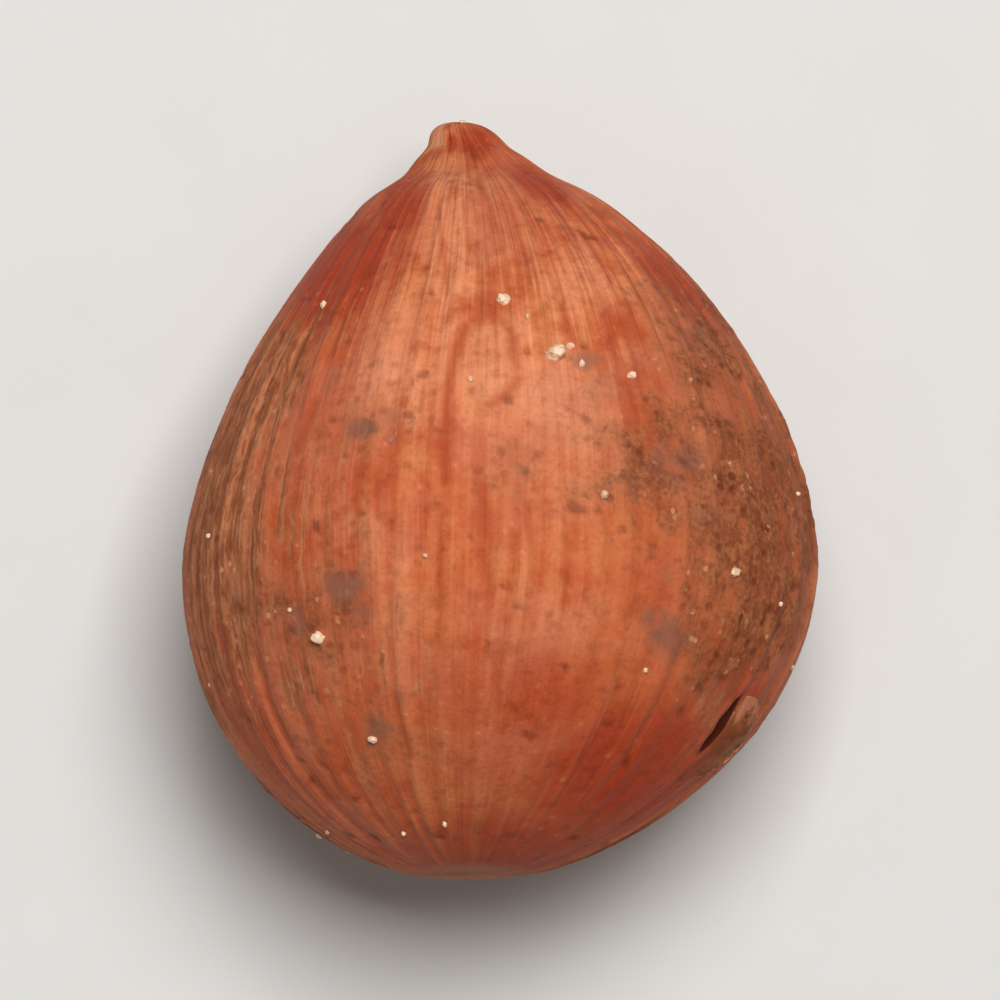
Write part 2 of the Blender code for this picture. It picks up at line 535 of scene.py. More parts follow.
@dataclass(frozen=True)
class Markings:
    """Where the skin is pale, rosy, deep red, crusted, threaded, stained or creased on top. The deep
    red spots low on the two flanks are painted shade, and so is the creases' darker colour.

    Places and sizes are in millimetres from the kernel's middle, seen from above.
    """

    blush: tuple[Spot, ...] = (
        Spot(-1.15, 5.6, 0.80, 2.4, 0.80, 0.05),
        Spot(-1.6, 3.0, 1.3, 1.7, 0.80),
        Spot(1.7, 4.7, 1.6, 1.3, 0.70, 0.5),
        Spot(0.4, 2.6, 2.1, 1.5, 0.85),
        Spot(1.9, 1.2, 1.4, 1.5, 0.50),
        Spot(-2.6, 2.6, 1.1, 1.3, 0.50),
        Spot(0.2, -2.6, 1.9, 2.3, 0.14),
        Spot(-3.2, -0.2, 1.4, 1.9, 0.25),
    )
    rose: tuple[Spot, ...] = (
        Spot(1.5, 2.1, 1.5, 1.2, 0.95),
        Spot(-2.5, 3.0, 1.1, 1.3, 0.80),
        Spot(-0.1, 3.0, 1.0, 1.3, 0.60),
        Spot(-2.4, -2.6, 0.8, 1.6, 0.50),
        Spot(1.0, -2.8, 1.9, 1.3, 0.60),
        Spot(2.9, 2.9, 0.9, 0.8, 0.60),
    )
    deep: tuple[Spot, ...] = (
        Spot(-3.3, 5.0, 0.85, 1.9, 1.1, -0.65),
        Spot(-2.15, 6.4, 0.50, 0.9, 1.2, -0.45),
        Spot(0.9, 6.9, 0.95, 0.32, 1.0, -0.6),
        Spot(3.9, 4.7, 2.0, 0.40, 0.90, -0.8),
        Spot(-0.50, 7.85, 0.42, 0.42, 1.10),
        Spot(-1.05, 7.85, 0.15, 0.24, 1.10),
        Spot(-0.3, -1.2, 0.22, 1.5, 0.40),
        Spot(-4.2, 4.4, 0.40, 1.2, 0.70, -0.6),
        Spot(2.8, -5.9, 2.4, 1.7, 1.0, 0.5),
        Spot(0.6, -7.6, 3.0, 1.1, 0.75),
        Spot(0.8, -4.3, 3.0, 1.7, 0.55),
        Spot(0.2, -2.6, 1.6, 1.3, 0.32),
        Spot(3.3, -1.8, 1.2, 1.4, 0.36),
        Spot(2.2, 6.0, 0.8, 0.45, 0.40, -0.6),
        Spot(-0.2, -5.8, 1.8, 1.0, 0.38),
        # Painted shade: these two spots, low on the right and the left flank, darken the kernel's edges
        Spot(5.2, -4.2, 1.0, 1.8, 0.75, 0.5),
        Spot(-5.3, -4.9, 0.5, 1.4, 0.50, 0.5),
        Spot(-3.0, -7.2, 1.5, 0.5, 0.25, -0.5),
    )
    scurf: tuple[Spot, ...] = (
        Spot(5.5, -0.6, 1.7, 3.6, 1.10, 0.1),
        Spot(3.6, 0.9, 1.7, 1.7, 0.95),
        Spot(4.5, 3.2, 1.3, 1.7, 0.80, 0.5),
        Spot(2.5, 2.3, 1.2, 0.9, 0.45),
        Spot(4.6, -3.3, 1.0, 1.4, 0.75, 0.4),
        Spot(-4.1, -2.5, 1.5, 1.2, 0.60),
        Spot(-2.7, -5.2, 1.4, 1.1, 0.32),
        Spot(0.4, 0.8, 1.0, 1.2, 0.30),
        Spot(-2.6, 1.6, 1.2, 0.8, 0.34),
    )
    fibre: tuple[Spot, ...] = (
        Spot(-6.1, -0.8, 1.3, 3.9, 1.10, 0.05),
        Spot(-5.2, 2.2, 0.8, 2.0, 1.00, -0.40),
        Spot(-4.5, -0.4, 0.9, 2.2, 0.60),
        Spot(-2.4, -3.9, 1.1, 1.9, 0.42),
        Spot(-3.9, 3.6, 0.6, 1.1, 0.50, -0.5),
        Spot(-3.4, -6.0, 1.2, 1.2, 0.10, 0.4),
        Spot(5.0, -4.6, 0.8, 1.6, 0.45, 0.5),
        Spot(-4.3, -3.8, 1.0, 1.4, 0.55, 0.3),
    )
    stain: tuple[Spot, ...] = (
        Spot(-2.95, 1.55, 0.50, 0.28, 0.65),
        Spot(-2.45, 1.85, 0.30, 0.26, 0.60),
        Spot(-2.30, 1.35, 0.22, 0.34, 0.50),
        Spot(-3.35, -1.90, 0.62, 0.34, 1.0, 0.2),
        Spot(-2.95, -2.45, 0.34, 0.32, 0.8, 0.2),
        Spot(-4.35, -2.60, 0.20, 0.44, 0.9, 0.3),
        Spot(-2.60, -5.00, 0.40, 0.50, 0.7),
        Spot(-2.10, -4.40, 0.20, 0.30, 0.6),
        Spot(1.95, 3.05, 0.42, 0.26, 0.95),
        Spot(2.30, 2.70, 0.20, 0.22, 0.6),
        Spot(0.50, 4.40, 0.24, 0.14, 0.5),
        Spot(4.60, -0.40, 0.60, 0.40, 0.45),
        Spot(3.70, -3.00, 0.50, 0.60, 0.90),
        Spot(3.20, -2.55, 0.26, 0.34, 0.70),
        Spot(3.90, 0.90, 0.90, 0.70, 0.70),
        Spot(2.70, 0.30, 0.50, 0.50, 0.50),
        Spot(0.40, 0.20, 0.26, 0.70, 0.50),
        Spot(4.20, 3.60, 0.50, 0.40, 0.50),
        Spot(-3.70, 2.60, 0.24, 0.60, 0.55, -0.4),
    )
    # The creases are sunk in the relief, and their darker colour in the skin's finish is painted shade
    crease: tuple[Stroke, ...] = (
        Stroke(((-0.72, 3.80), (-0.95, 3.25), (-1.14, 2.20), (-1.22, 0.40)), 0.110, 1.2),
        Stroke(((-0.72, 3.80), (-0.40, 4.00)), 0.080, 0.5),
        Stroke(((0.42, 2.62), (0.15, 2.30), (-0.18, 2.08)), 0.130, 0.9),
        Stroke(((-0.05, 4.02), (0.28, 3.60), (0.38, 2.85)), 0.090, 0.8),
        Stroke(((-1.34, 6.40), (-1.20, 5.30), (-1.16, 4.50)), 0.065, 0.7),
        Stroke(((-0.74, 6.50), (-0.66, 5.30)), 0.06, 0.5),
        Stroke(((-0.20, 6.40), (0.02, 5.40)), 0.06, 0.5),
        Stroke(((-4.05, 2.15), (-4.22, 1.60), (-4.40, 1.05)), 0.095, 1.0),
        Stroke(((-3.45, 3.95), (-3.70, 3.20)), 0.085, 0.9),
        Stroke(((-2.66, 0.60), (-2.64, -0.35)), 0.08, 0.9),
        Stroke(((-2.30, -4.20), (-2.12, -4.90), (-1.90, -5.60)), 0.08, 0.9),
        Stroke(((-0.36, 0.30), (-0.34, -0.80)), 0.11, 1.1),
        Stroke(((-0.38, -1.20), (-0.20, -2.10)), 0.10, 0.9),
        Stroke(((0.32, 1.30), (0.25, 0.70)), 0.09, 0.6),
        Stroke(((0.62, -0.10), (0.70, -0.90)), 0.09, 0.7),
        Stroke(((-0.10, -3.30), (-0.02, -4.60)), 0.08, 0.6),
        Stroke(((-5.35, -3.20), (-5.05, -4.40), (-4.55, -5.40)), 0.08, 0.6),
        Stroke(((1.95, 5.75), (2.35, 5.05)), 0.07, 0.7),
        Stroke(((2.75, 5.05), (3.20, 4.30)), 0.07, 0.7),
    )

    def masks(self, x: Array, y: Array) -> dict[str, Array]:
        """The strongest spot or stroke of each kind.

        Args:
            x: places to the right of the middle, in metres.
            y: places towards the beak, in metres.

        Returns:
            One mask for each kind of marking, by its name.
        """
        kinds = [kind.name for kind in fields(self)]
        return {kind: strongest(getattr(self, kind), x / MM, y / MM) for kind in kinds}


@dataclass(frozen=True)
class Fit:
    """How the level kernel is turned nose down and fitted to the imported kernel's box."""

    nose_down: float
    flat_depth: float
    low: Array
    high: Array
    box_low: Array
    box_high: Array

    @staticmethod
    def turned(points: Array, nose_down: float) -> Array:
        """The points turned about X, so that the beak comes down.

        Args:
            points: places with the axis level.
            nose_down: the angle, in radians.

        Returns:
            The turned places.
        """
        cos, sin = math.cos(nose_down), math.sin(nose_down)
        x, y, z = np.moveaxis(points, -1, 0)
        return stacked(x, y * cos + z * sin, z * cos - y * sin)

    @classmethod
    def to_box(cls, points: Array, box: tuple[Array, Array], nose_down: float, depth: float) -> "Fit":
        """The fit that brings these points into the box.

        Args:
            points: all places of the kernel, with the axis level.
            box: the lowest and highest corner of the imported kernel.
            nose_down: the angle, in radians.
            depth: how much of the underside the flat spot takes away.

        Returns:
            The fit.
        """
        level = cls.turned(points, nose_down).reshape(-1, 3)
        return cls(nose_down, depth, level.min(axis=0), level.max(axis=0), *box)

    def place(self, points: Array) -> Array:
        """Scales and shifts each axis to the box, and presses the flat spot into the underside.

        Args:
            points: places with the axis level.

        Returns:
            The places in the row frame.
        """
        room = np.array([0.0, 0.0, self.flat_depth])
        scale = (self.box_high - self.box_low + room) / (self.high - self.low)
        placed = (self.turned(points, self.nose_down) - self.low) * scale + self.box_low - room
        placed[..., 2] = np.maximum(placed[..., 2], self.box_low[2])
        return placed


@dataclass(frozen=True)
class Flaw:
    """The flake low on the right flank: the slit above it, and the bulge that it sits on."""

    turn: float = math.radians(24.0)
    share: float = 0.188
    length: float = 0.78 * MM
    width: float = 0.24 * MM
    bulge_height: float = 0.25 * MM
    bulge_width: float = 0.58 * MM
    bulge_back: float = 0.20 * MM
    slit_depth: float = 0.26 * MM
    slit_breadth: float = 0.16 * MM
    slit_taper: float = 0.55
    slit_wander: float = 0.018 * MM

    def slit(self, places: Places, middle: float) -> Array:
        """A bell across the slit, which wavers and narrows to its ends, times a flat-topped bell
        along it.

        Args:
            places: places on the skin.
            middle: the distance from the base to the slit's middle, along the outline.

        Returns:
            1 along the slit, and 0 away from it.
        """
        along = (places.arc - middle) / self.length
        waver = self.slit_wander * (np.sin(4.1 * along) + 0.6 * np.sin(9.7 * along + 1.0))
        across = places.across(self.turn) - self.width - waver
        breadth = self.slit_breadth * (1.0 - self.slit_taper * np.clip(along**2, 0.0, 1.0))
        return bell(across, breadth) * np.exp(-(along**4))

    def bulge(self, places: Places, middle: float) -> Array:
        """A bell across and along the skin under the flake.

        Args:
            places: places on the skin.
            middle: the distance from the base to the slit's middle, along the outline.

        Returns:
            1 at the middle of the bulge, and 0 away from it.
        """
        across = places.across(self.turn) + self.bulge_width / 2.0
        along = places.arc - middle + self.bulge_back
        return bell(across, self.bulge_width) * bell(along, self.length)


class PieceMesh:
    """Makes a closed surface from rings of points with a point at each end."""

    @staticmethod
    def faces(rows: int, columns: int) -> tuple[Array, Array]:
        """Quads between neighbouring rings, and a fan of triangles at each end.

        Args:
            rows: how many rings.
            columns: how many points in a ring.

        Returns:
            The quads and the triangles, as rows of vertex numbers. The two end points come last.
        """
        row, column = np.meshgrid(np.arange(rows - 1), np.arange(columns), indexing="ij")
        here, beside = row * columns + column, row * columns + (column + 1) % columns
        quads = np.stack([here, here + columns, beside + columns, beside], axis=-1).reshape(-1, 4)
        ring = np.arange(columns)
        ahead = (ring + 1) % columns
        last = (rows - 1) * columns
        first_end = np.stack([np.full(columns, rows * columns), ring, ahead], axis=-1)
        last_end = np.stack([np.full(columns, rows * columns + 1), last + ahead, last + ring], axis=-1)
        return quads, np.concatenate([first_end, last_end])

    @staticmethod
    def enclosed(points: Array, faces: Array) -> float:
        """Six times the volume under some faces of a closed surface.

        Args:
            points: the surface's points.
            faces: triangles or quads, as rows of point numbers.

        Returns:
            What the faces add to the whole, which comes out negative if they all point inwards.
        """
        first, second, third = (points[faces[:, corner]] for corner in range(3))
        total = np.einsum("ij,ij->", first, np.cross(second, third))
        if faces.shape[1] == 4:
            total += np.einsum("ij,ij->", first, np.cross(third, points[faces[:, 3]]))
        return float(total)

    @staticmethod
    def with_ends(values: Array) -> Array:
        """The values of every ring, then the mean of the first ring and that of the last."""
        flat = values.reshape(-1, *values.shape[2:])
        return np.concatenate([flat, values[:1].mean(axis=1), values[-1:].mean(axis=1)])

    @classmethod
    def make(cls, name: str, bodies: list[Array]) -> bpy.types.Object:
        """One smooth-shaded object from one or more closed surfaces.

        Args:
            name: the piece's name.
            bodies: the rings of each surface, as rows by columns by 3.

        Returns:
            The object, at the origin, with every face pointing out.
        """
        all_points, all_faces, count = [], [], 0
        for rings in bodies:
            points = cls.with_ends(rings)
            quads, triangles = cls.faces(*rings.shape[:2])
            if cls.enclosed(points, quads) + cls.enclosed(points, triangles) < 0.0:
                quads, triangles = quads[:, ::-1], triangles[:, ::-1]
            all_points.append(points)
            all_faces += (quads + count).tolist() + (triangles + count).tolist()
            count += len(points)
        mesh = bpy.data.meshes.new(name)
        mesh.from_pydata(np.concatenate(all_points).tolist(), [], all_faces)
        mesh.update()
        mesh.shade_smooth()
        piece = bpy.data.objects.new(name, mesh)
        bpy.context.scene.collection.objects.link(piece)
        return piece

    @classmethod
    def paint(cls, piece: bpy.types.Object, name: str, values: Array) -> None:
        """Stores a value, or a vector of three, for each vertex of a piece of one surface.

        Args:
            piece: the object.
            name: the attribute's name, which the finish reads.
            values: rows by columns of them.
        """
        kind, slot = ("FLOAT", "value") if values.ndim == 2 else ("FLOAT_VECTOR", "vector")
        attribute = piece.data.attributes.new(name, kind, "POINT")
        attribute.data.foreach_set(slot, cls.with_ends(values).astype(np.float32).ravel())

    @staticmethod
    def dress(piece: bpy.types.Object, material: bpy.types.Material) -> bpy.types.Object:
        """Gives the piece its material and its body.

        Args:
            piece: the object.
            material: its material.

        Returns:
            The same object.
        """
        piece.data.materials.append(material)
        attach(piece, "root")
        return piece


@dataclass
class Kernel:
    """The kernel in its skin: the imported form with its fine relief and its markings."""

    box: tuple[Array, Array]
    columns: int = 400
    rows: int = 243
    nose_down: float = math.radians(8.0)
    flat_depth: float = 0.22 * MM
    rest_radius: float = 2.4 * MM
    rest_turn: float = -math.pi / 2.0
    scar_depth: float = 0.20 * MM
    scar_radius: float = 1.1 * MM
    scar_rim: float = 1.35 * MM
    scar_rim_breadth: float = 0.35 * MM
    scar_rim_height: float = 0.06 * MM
    streak_height: float = 0.030 * MM
    fine_streak_height: float = 0.016 * MM
    beak_fold_height: float = 0.055 * MM
    scurf_height: float = 0.020 * MM
    grit_height: float = 0.030 * MM
    grit_elsewhere: float = 0.25
    fibre_height: float = 0.045 * MM
    crease_depth: float = 0.075 * MM
    stain_depth: float = 0.040 * MM
    pit_depth: float = 0.035 * MM

    # Smooth steps, each from where a thing begins to where it is full
    upper_side: Reach = (-0.05, 0.30)
    belly_width: Reach = (0.5 * MM, 3.2 * MM)
    scar_width: Reach = (0.9 * MM, 1.5 * MM)
    pit_noise: Reach = (0.62, 0.85)
    crust_mask: Reach = (0.35, 0.75)
    worn_mask: Reach = (0.1, 0.5)
    folds_begin: Reach = (0.80, 0.95)
    folds_end: Reach = (0.985, 1.0)
    lines_towards_beak: Reach = (0.52, 0.72)
    lines_from_base: Reach = (0.08, 0.22)
    tip_station: Reach = (0.925, 0.955)

    # Where lines and the pale tip lie round the kernel, and how far they spread
    lined_turn: float = 2.7
    lined_spread: float = 0.55
    tip_turn: float = 2.55
    tip_spread: float = 0.50

    # Clouds that place the markings away from the upper side and break up their edges
    broad: Rough = Rough(11, 3.1 * MM)
    other: Rough = Rough(12, 3.7 * MM, shift=9.1)
    flank: Rough = Rough(15, 4.1 * MM, shift=3.3)
    mottle: Rough = Rough(14, 0.75 * MM)
    side_streaks: Streaks = Streaks(13, 13.0, 4.0)

    # Clouds of the relief
    streaks: Streaks = Streaks(21, 12.0, 3.0)
    fine_streaks: Streaks = Streaks(22, 24.0, 7.0, 2)
    folds: Streaks = Streaks(23, 3.6, 5.0, 2)
    grit: Rough = Rough(24, 0.30 * MM, 2)
    pits: Rough = Rough(25, 0.42 * MM, 1)

    swell: Swell = Swell()
    ribs: Ribs = Ribs()
    veins: Veins = Veins()
    markings: Markings = Markings()
    flaw: Flaw = Flaw()

    def __post_init__(self) -> None:
        """Fits the ribbed form to the box, works out the relief on it, and fits it again."""
        size = self.box[1] - self.box[0]
        self.outline = Outline(width=float(size[0]), length=float(size[1]))
        self.flattening = float(size[2] / size[0])
        share, _, arc = self.outline.meridian(np.linspace(0.0, 1.0, self.outline.samples))
        self.flaw_middle = float(np.interp(self.flaw.share, share, arc))
        stations, turns = ring_grid(self.rows, self.columns)
        self.places = self.outline.places(turns, stations)
        self.fitted(self.ribs.raised(self.places))
        self.plain = self.at(self.places, 0.0)
        raised, self.masks = self.relief()
        self.rings = self.fitted(raised)

    def level(self, places: Places, raised: Array | float) -> Array:
        """The form with its axis level: an oval of the profile's half width times the swell, plus
        what is raised on it, round the middle line, with the scar's dimple pushed into the base.

        Args:
            places: places on the skin.
            raised: how far the skin stands out from the plain form.

        Returns:
            The points, with x, y and z on the last axis.
        """
        lean_x, lean_z = self.outline.middle(places.share)
        radius = places.width * self.swell.factor(places) + raised
        dimple = self.scar_depth * bell(places.width, self.scar_radius)
        dimple = np.where(places.share < self.outline.belly, dimple, 0.0)
        x = lean_x + radius * np.cos(places.turn)
        y = places.share * self.outline.length + dimple
        return stacked(x, y, lean_z + radius * self.flattening * np.sin(places.turn))

    def fitted(self, raised: Array) -> Array:
        """Fits the form with this relief to the box, and keeps the fit.

        Args:
            raised: how far the skin stands out from the plain form.

        Returns:
            The form's points in the row frame.
        """
        form = self.level(self.places, raised)
        self.fit = Fit.to_box(form, self.box, self.nose_down, self.flat_depth)
        return self.fit.place(form)

    def at(self, places: Places, raised: Array | float) -> Array:
        """Points on the fitted form in the row frame, with the arguments of level."""
        return self.fit.place(self.level(places, raised))

    def marked(self) -> dict[str, Array]:
        """The markings: those that are placed one by one on the upper side, and drawn ones elsewhere.

        Returns:
            A mask from 0 to about 1 for each kind of marking.
        """
        seen = rise(np.sin(self.places.turn), *self.upper_side) + 0.0 * self.places.station
        masks = self.markings.masks(self.plain[..., 0], self.plain[..., 1])
        other = self.other.at(self.plain)
        drawn = {
            "scurf": rise(self.broad.at(self.plain), -0.05, 0.50),
            "fibre": rise(self.flank.at(self.plain), -0.05, 0.45),
            "blush": 0.8 * rise(other, 0.05, 0.60),
            "deep": 0.8 * rise(-other, 0.10, 0.60),
        }
        for kind, mask in masks.items():
            masks[kind] = seen * mask + (1.0 - seen) * drawn.get(kind, 0.0)
        mottle, streaks = self.mottle.at(self.plain), self.side_streaks.at(self.places)
        for kind, wear, share in (("scurf", mottle, 0.45), ("fibre", streaks, 0.55)):
            worn = masks[kind] + share * wear * rise(masks[kind], *self.worn_mask)
            masks[kind] = np.clip(worn, 0.0, 1.0)
        return masks

    def lined(self) -> Array:
        """Where thin lines show best: towards the beak, on the left flank, and at the base.

        Returns:
            A mask from 0 to 1.
        """
        station = self.places.station
        left = bell(wrapped(self.places.turn - self.lined_turn), self.lined_spread)
        lined = rise(station, *self.lines_towards_beak) + 0.8 * left
        return np.clip(lined + 0.2 * (1.0 - rise(station, *self.lines_from_base)), 0.0, 1.0)

    def resting(self) -> Array:
        """Where the kernel rests, so that nothing stands out there.

        Returns:
            1 at the middle of the flat spot, falling away round it.
        """
        share = self.places.share - self.outline.belly
        round_it = bell(self.places.across(self.rest_turn), self.rest_radius)
        return round_it * bell(share * self.outline.length, self.rest_radius)

    def relief(self) -> tuple[Array, dict[str, Array]]:
        """How far each place of the skin stands out, and the masks that its finish reads.

        Returns:
            The height over the plain form, and the masks by name.
        """
        places, station, masks = self.places, self.places.station, self.marked()
        below = places.share < self.outline.belly
        belly = rise(places.width, *self.belly_width)
        ribs, veins = self.ribs.raised(places), self.veins.mask(places) * belly
        fine, grit = self.fine_streaks.at(places), self.grit.at(self.plain)
        pits = rise(self.pits.at(self.plain), *self.pit_noise) * belly
        near_beak = rise(station, *self.folds_begin) * (1.0 - rise(station, *self.folds_end))
        rim = bell(places.width - self.scar_rim, self.scar_rim_breadth) * below
        slit = self.flaw.slit(places, self.flaw_middle)
        bulge = self.flaw.bulge(places, self.flaw_middle)
        raised = ribs + self.veins.height * veins
        streaks = self.streak_height * self.streaks.at(places) + self.fine_streak_height * fine
        raised += belly * streaks
        raised += self.beak_fold_height * self.folds.at(places) * near_beak
        raised += self.grit_height * grit * (self.grit_elsewhere + masks["scurf"])
        raised += self.scurf_height * rise(masks["scurf"], *self.crust_mask)
        raised += self.fibre_height * masks["fibre"] * fine
        raised -= self.crease_depth * masks["crease"] + self.stain_depth * masks["stain"]
        raised += self.scar_rim_height * rim * (1.0 + grit) - self.pit_depth * pits
        raised += self.flaw.bulge_height * bulge - self.flaw.slit_depth * slit
        tip = rise(station, *self.tip_station)
        masks |= {
            "rib": np.clip(ribs / self.ribs.height, 0.0, 1.0),
            "vein": veins,
            "pit": pits,
            "slit": slit,
            "torn": bulge,
            "beak": tip * bell(wrapped(places.turn - self.tip_turn), self.tip_spread),
            "lined": self.lined(),
            "scar": (1.0 - rise(places.width, *self.scar_width)) * below + 0.0 * places.turn,
        }
        return raised * (1.0 - self.resting()), masks

    def build(self, finish: "SkinFinish") -> bpy.types.Object:
        """Makes the skin, paints its masks on it and dresses it.

        Args:
            finish: the skin's finish.

        Returns:
            The piece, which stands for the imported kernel.
        """
        piece = PieceMesh.make("kernel_skin", [self.rings])
        for name, mask in self.masks.items():
            PieceMesh.paint(piece, name, mask)
        PieceMesh.paint(piece, "grain", self.places.drawn_out(1.0, 1.0))
        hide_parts("kernel")
        return PieceMesh.dress(piece, finish.material())


@dataclass
class LiftedFlake:
    """The thin chip of skin that stands up beside the slit.

    It is a closed loop of a cross-section, out over the top and back underneath, carried along
    the slit. It is joined beside the slit, its free edge stands off the flank below, and its two
    ends run out to a point.
    """

    kernel: Kernel
    rows: int = 60
    columns: int = 48
    hinge: float = 0.40
    breadth: float = 1.20 * MM
    reach: float = 1.16 * MM
    back: float = 0.36 * MM
    thickness: float = 0.070 * MM
    curl: float = 0.30 * MM
    sink: float = 0.05 * MM
    curl_power: float = 1.3
    rag_seed: int = 31
    raggedness: float = 0.24
    rags: float = 11.0
    bulk: float = 0.28
    ripple_seed: int = 32
    ripple: float = 0.5
    ripples_along: float = 3.5
    ripples_across: float = 4.5

    def build(self, finish: "FlakeFinish") -> bpy.types.Object:
        """Makes the chip on the kernel and dresses it.

        Args:
            finish: the chip's finish.

        Returns:
            The piece.
        """
        kernel, flaw, outline = self.kernel, self.kernel.flaw, self.kernel.outline
        along, loop = ring_grid(self.rows, self.columns)
        across = 0.5 - 0.5 * np.cos(loop)
        swelling = np.sin(math.pi * along) ** self.bulk
        ragged = Cloud(self.rag_seed).rough(stacked(self.rags * along, 0.5, 0.5), 3)
        breadth = self.breadth * swelling * (1.0 + self.raggedness * ragged)
        arc = kernel.flaw_middle - self.back + self.reach * (2.0 * along - 1.0)
        station = arc / outline.meridian(np.array(1.0))[2]
        share, width, _ = outline.meridian(station)
        turn = flaw.turn + (flaw.width * self.hinge - breadth * across) / width
        places = Places(turn, station, share, width, arc)
        buckle = stacked(self.ripples_along * along, self.ripples_across * across, 0.5)
        buckle = 1.0 + self.ripple * Cloud(self.ripple_seed).rough(buckle, 3)
        height = self.curl * across**self.curl_power * swelling * buckle
        height += self.thickness / 2.0 * np.sin(loop) * swelling - self.sink
        height += flaw.bulge_height * flaw.bulge(places, kernel.flaw_middle)
        piece = PieceMesh.make("lifted_flake", [kernel.at(places, height)])
        PieceMesh.paint(piece, "edge", across + 0.0 * along)
        PieceMesh.paint(piece, "along", along + 0.0 * across)
        return PieceMesh.dress(piece, finish.material())


@dataclass
class Crumbs:
    """Pale crumbs of nut meal that cling to the skin, each a lumpy ball half sunk in it."""

    kernel: Kernel
    seed: int = 5
    rows: int = 15
    columns: int = 20
    drawn: int = 26
    sizes: Reach = (0.040 * MM, 0.085 * MM)
    least_height: float = 0.4 * MM
    stretch: Reach = (0.7, 1.25)
    lump_seed: int = 33
    lumpiness: float = 0.50
    lumps: float = 1.5
    lift: float = 0.15
    placed: tuple[tuple[float, float, float], ...] = (
        (0.08, 4.36, 0.15),
        (1.23, 3.21, 0.20),
        (1.80, 2.95, 0.09),
        (2.82, 2.70, 0.09),
        (-3.94, -3.04, 0.14),
        (5.12, -1.57, 0.11),
        (-2.73, -5.21, 0.09),
        (0.62, 3.95, 0.06),
        (1.52, 3.30, 0.08),
        (-1.58, -1.25, 0.07),
        (6.40, -3.70, 0.07),
        (-4.60, -2.40, 0.06),
    )

    def homes(self) -> tuple[Array, Array, Array]:
        """Where the crumbs sit: those placed one by one on the upper side, at x, y and size in
        millimetres, and drawn ones all over, with a chance that follows the skin's area.

        Returns:
            The middles, the directions away from the skin, and the sizes.
        """
        rings = self.kernel.rings
        across = np.roll(rings, -1, axis=1) - np.roll(rings, 1, axis=1)
        away = np.cross(np.gradient(rings, axis=0), across)
        room = np.linalg.norm(away, axis=-1, keepdims=True)
        points, ways, room = rings.reshape(-1, 3), (away / room).reshape(-1, 3), room.ravel()
        upper = np.flatnonzero(ways[:, 2] > 0.0)
        draw = np.random.default_rng(self.seed)
        chosen, sizes = [], []
        for x, y, size in self.placed:
            gaps = np.hypot(points[upper, 0] - x * MM, points[upper, 1] - y * MM)
            chosen.append(upper[np.argmin(gaps)])
            sizes.append(size * MM)
        loose = np.flatnonzero(points[:, 2] > self.least_height)
        chance = room[loose] / room[loose].sum()
        chosen += draw.choice(loose, self.drawn, replace=False, p=chance).tolist()
        sizes += draw.uniform(*self.sizes, self.drawn).tolist()
        return points[chosen], ways[chosen], np.array(sizes)

    def build(self, finish: "CrumbFinish") -> bpy.types.Object:
        """Makes every crumb as a ball whose radius is 1 plus a rough cloud, and dresses them.

        Args:
            finish: the crumbs' finish.

        Returns:
            The piece.
        """
        steps, turns = ring_grid(self.rows, self.columns)
        radius, level = np.sin(math.pi * steps), np.cos(math.pi * steps)
        ball = stacked(radius * np.cos(turns), radius * np.sin(turns), level)
        draw, cloud = np.random.default_rng(self.seed + 1), Cloud(self.lump_seed)
        bodies = []
        for home, way, size in zip(*self.homes()):
            stretch = draw.uniform(*self.stretch, 3)
            rough = 1.0 + self.lumpiness * cloud.rough(ball * self.lumps + draw.uniform(0, 30, 3), 3)
            bodies.append(home + way * self.lift * size + ball * rough[..., None] * stretch * size)
        piece = PieceMesh.make("nut_meal_crumbs", bodies)
        return PieceMesh.dress(piece, finish.material())


class Sum(Enum):
    """The operations that expressions on shader values use."""

    ADD = "ADD"
    SUBTRACT = "SUBTRACT"
    MULTIPLY = "MULTIPLY"
    LARGER = "MAXIMUM"
    SMALLER = "MINIMUM"


class Blend(Enum):
    """How one colour is laid over another."""

    OVER = "MIX"
    MULTIPLY = "MULTIPLY"


class Value:
    """A shader value, whose arithmetic adds Math nodes to its material."""

    def __init__(self, dye: "Dye", socket: bpy.types.NodeSocket) -> None:
        """Keeps the material's maker and the socket that gives the value."""
        self.dye = dye
        self.socket = socket

    def combined(self, operation: Sum, first: Any, second: Any) -> "Value":
        """A Math node on two values or numbers.

        Args:
            operation: what the node does.
            first: its first value or number.
            second: its second value or number.

        Returns:
            The node's result.
        """
        node = self.dye.node("ShaderNodeMath", {"operation": operation.value}, {0: first, 1: second})
        return Value(self.dye, node.outputs[0])

    def __add__(self, other: Any) -> "Value":
        """self + other."""
        return self.combined(Sum.ADD, self, other)

    def __sub__(self, other: Any) -> "Value":
        """self - other."""
        return self.combined(Sum.SUBTRACT, self, other)

    def __rsub__(self, other: Any) -> "Value":
        """other - self."""
        return self.combined(Sum.SUBTRACT, other, self)

    def __mul__(self, other: Any) -> "Value":
        """self * other."""
        return self.combined(Sum.MULTIPLY, self, other)

    __radd__ = __add__
    __rmul__ = __mul__

    def at_least(self, other: Any) -> "Value":
        """The larger of the two."""
        return self.combined(Sum.LARGER, self, other)

    def at_most(self, other: Any) -> "Value":
        """The smaller of the two."""
        return self.combined(Sum.SMALLER, self, other)

    def below(self, limit: float) -> "Value":
        """How far the value falls below a limit, and 0 above it."""
        return (limit - self).at_least(0.0)

    def swing(self, weight: float) -> "Value":
        """The weight times how far the value is from 0.5, about which noise lies."""
        return weight * (self - 0.5)

    def rise(self, low: float, high: float) -> "Value":
        """A smooth step.

        Args:
            low: where it is still 0.
            high: where it reaches 1.

        Returns:
            The step's value.
        """
        settings = {"interpolation_type": "SMOOTHSTEP"}
        sockets = {"Value": self, "From Min": low, "From Max": high}
        return Value(self.dye, self.dye.node("ShaderNodeMapRange", settings, sockets).outputs[0])


